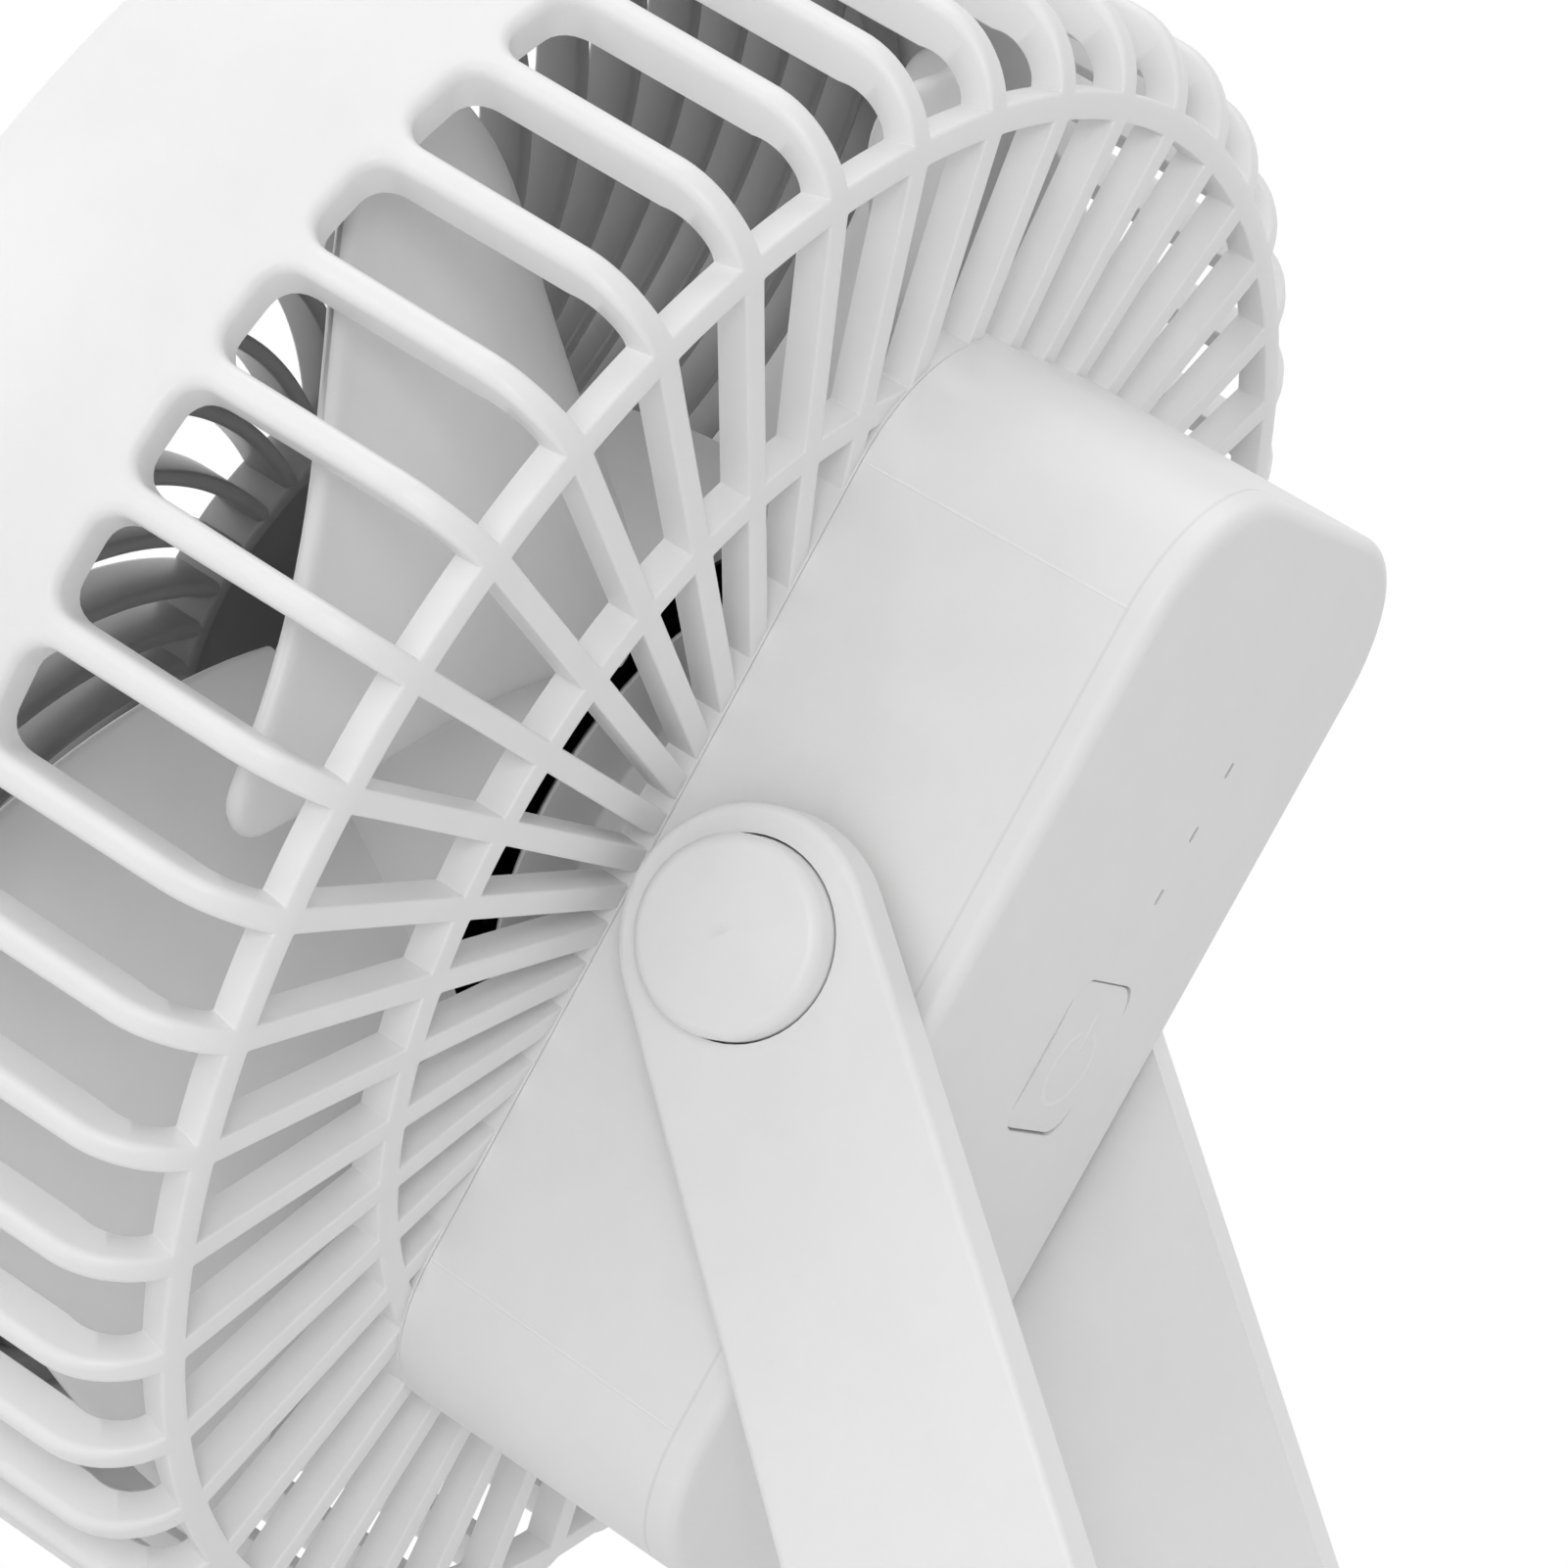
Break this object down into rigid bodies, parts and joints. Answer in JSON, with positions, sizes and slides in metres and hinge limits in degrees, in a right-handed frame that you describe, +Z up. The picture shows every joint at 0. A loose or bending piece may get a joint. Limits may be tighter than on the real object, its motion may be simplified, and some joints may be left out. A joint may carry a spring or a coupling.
{
  "type": "clip fan",
  "caption": "Small round fan on a sprung clip: ribbed rear grille, curved front grille, impeller, rear housing with a button, and a yoke that lets the head tilt and turn.",
  "frame": {"origin": "centre of the sole's underside, which rests on the table", "axes": "+Z up, the tilt pivot's axis along X, -Y the side that the fan blows to and that the clip's mouth opens to"},
  "size_m": [0.18, 0.2092, 0.2672],
  "materials": {
    "white_plastic": "satin white moulded plastic",
    "pale_plastic": "satin light grey moulded plastic",
    "dark_plastic": "matt dark grey moulded plastic",
    "rubber": "ribbed dark grey rubber",
    "steel": "plain steel",
    "spring_steel": "drawn spring wire",
    "rotor_steel": "black coated pressed steel",
    "ferrite": "bonded magnet",
    "copper": "enamelled winding, loosely packed",
    "laminations": "stacked steel sheet",
    "cell_wrap": null,
    "board": "green circuit board",
    "parts_black": "moulded electronic parts",
    "tin": "tinned shell",
    "clear": "translucent light guide",
    "light_chip": "small light chips",
    "nylon": "natural nylon"
  },
  "bodies": {
    "clip_base": {"lower_jaw": "white_plastic", "lower_jaw_pad": "rubber", "sole_pad": "rubber", "hinge_pin": "steel", "hinge_pin_rings": "steel", "spring_sleeve": "nylon", "torsion_spring": "spring_steel"},
    "clip_upper": {"upper_jaw": "white_plastic", "upper_jaw_pad": "rubber", "swivel_ring": "nylon"},
    "yoke": {"yoke": "white_plastic", "swivel_retainer": "steel", "swivel_screw": "steel", "pivot_cap_right": "white_plastic", "pivot_cap_left": "white_plastic"},
    "fan_head": {"rear_grille": "white_plastic", "front_grille": "dark_plastic", "front_cap": "dark_plastic", "motor_base": "pale_plastic", "motor_screws": "steel", "motor_bearings": "steel", "motor_stator": "laminations", "motor_windings": "copper", "housing": "white_plastic", "housing_screws": "steel", "rear_cover": "white_plastic", "light_guide": "clear", "status_lights": "light_chip", "battery_cells": "cell_wrap", "battery_cradle": "parts_black", "main_board": "board", "board_parts": "parts_black", "board_screws": "steel", "power_switch": "parts_black", "usb_socket": "tin", "pivot_screws": "steel", "pivot_washers": "nylon"},
    "impeller": {"impeller": "pale_plastic", "rotor_cup": "rotor_steel", "rotor_magnet": "ferrite", "motor_shaft": "steel", "impeller_nut": "steel"},
    "power_button": {"power_button": "white_plastic", "switch_plunger": "parts_black"}
  },
  "joints": [
    {"name": "jaw_hinge", "type": "hinge", "parent": "clip_base", "child": "clip_upper", "pos_m": [0, 0.036, 0.027], "axis": [-1, 0, 0], "range_deg": [0, 30], "stiffness_Nm_per_rad": 1.5, "springref_deg": -68.75, "deforming": ["torsion_spring"]},
    {"name": "swivel", "type": "hinge", "parent": "clip_upper", "child": "yoke", "pos_m": [0, 0.0065, 0.0424], "axis": [0, -0.304, 0.9527], "continuous": true},
    {"name": "head_tilt", "type": "hinge", "parent": "yoke", "child": "fan_head", "pos_m": [0, -0.02877, 0.15291], "axis": [-1, 0, 0], "range_deg": [-48, 120]},
    {"name": "impeller_spin", "type": "hinge", "parent": "fan_head", "child": "impeller", "pos_m": [0, -0.02877, 0.15291], "axis": [0, -0.8526, 0.5225], "continuous": true},
    {"name": "power_button_press", "type": "slide", "parent": "fan_head", "child": "power_button", "axis": [0, -0.8526, 0.5225], "range_m": [0, 0.0007], "stiffness_N_per_m": 500, "springref_m": -0.001}
  ]
}
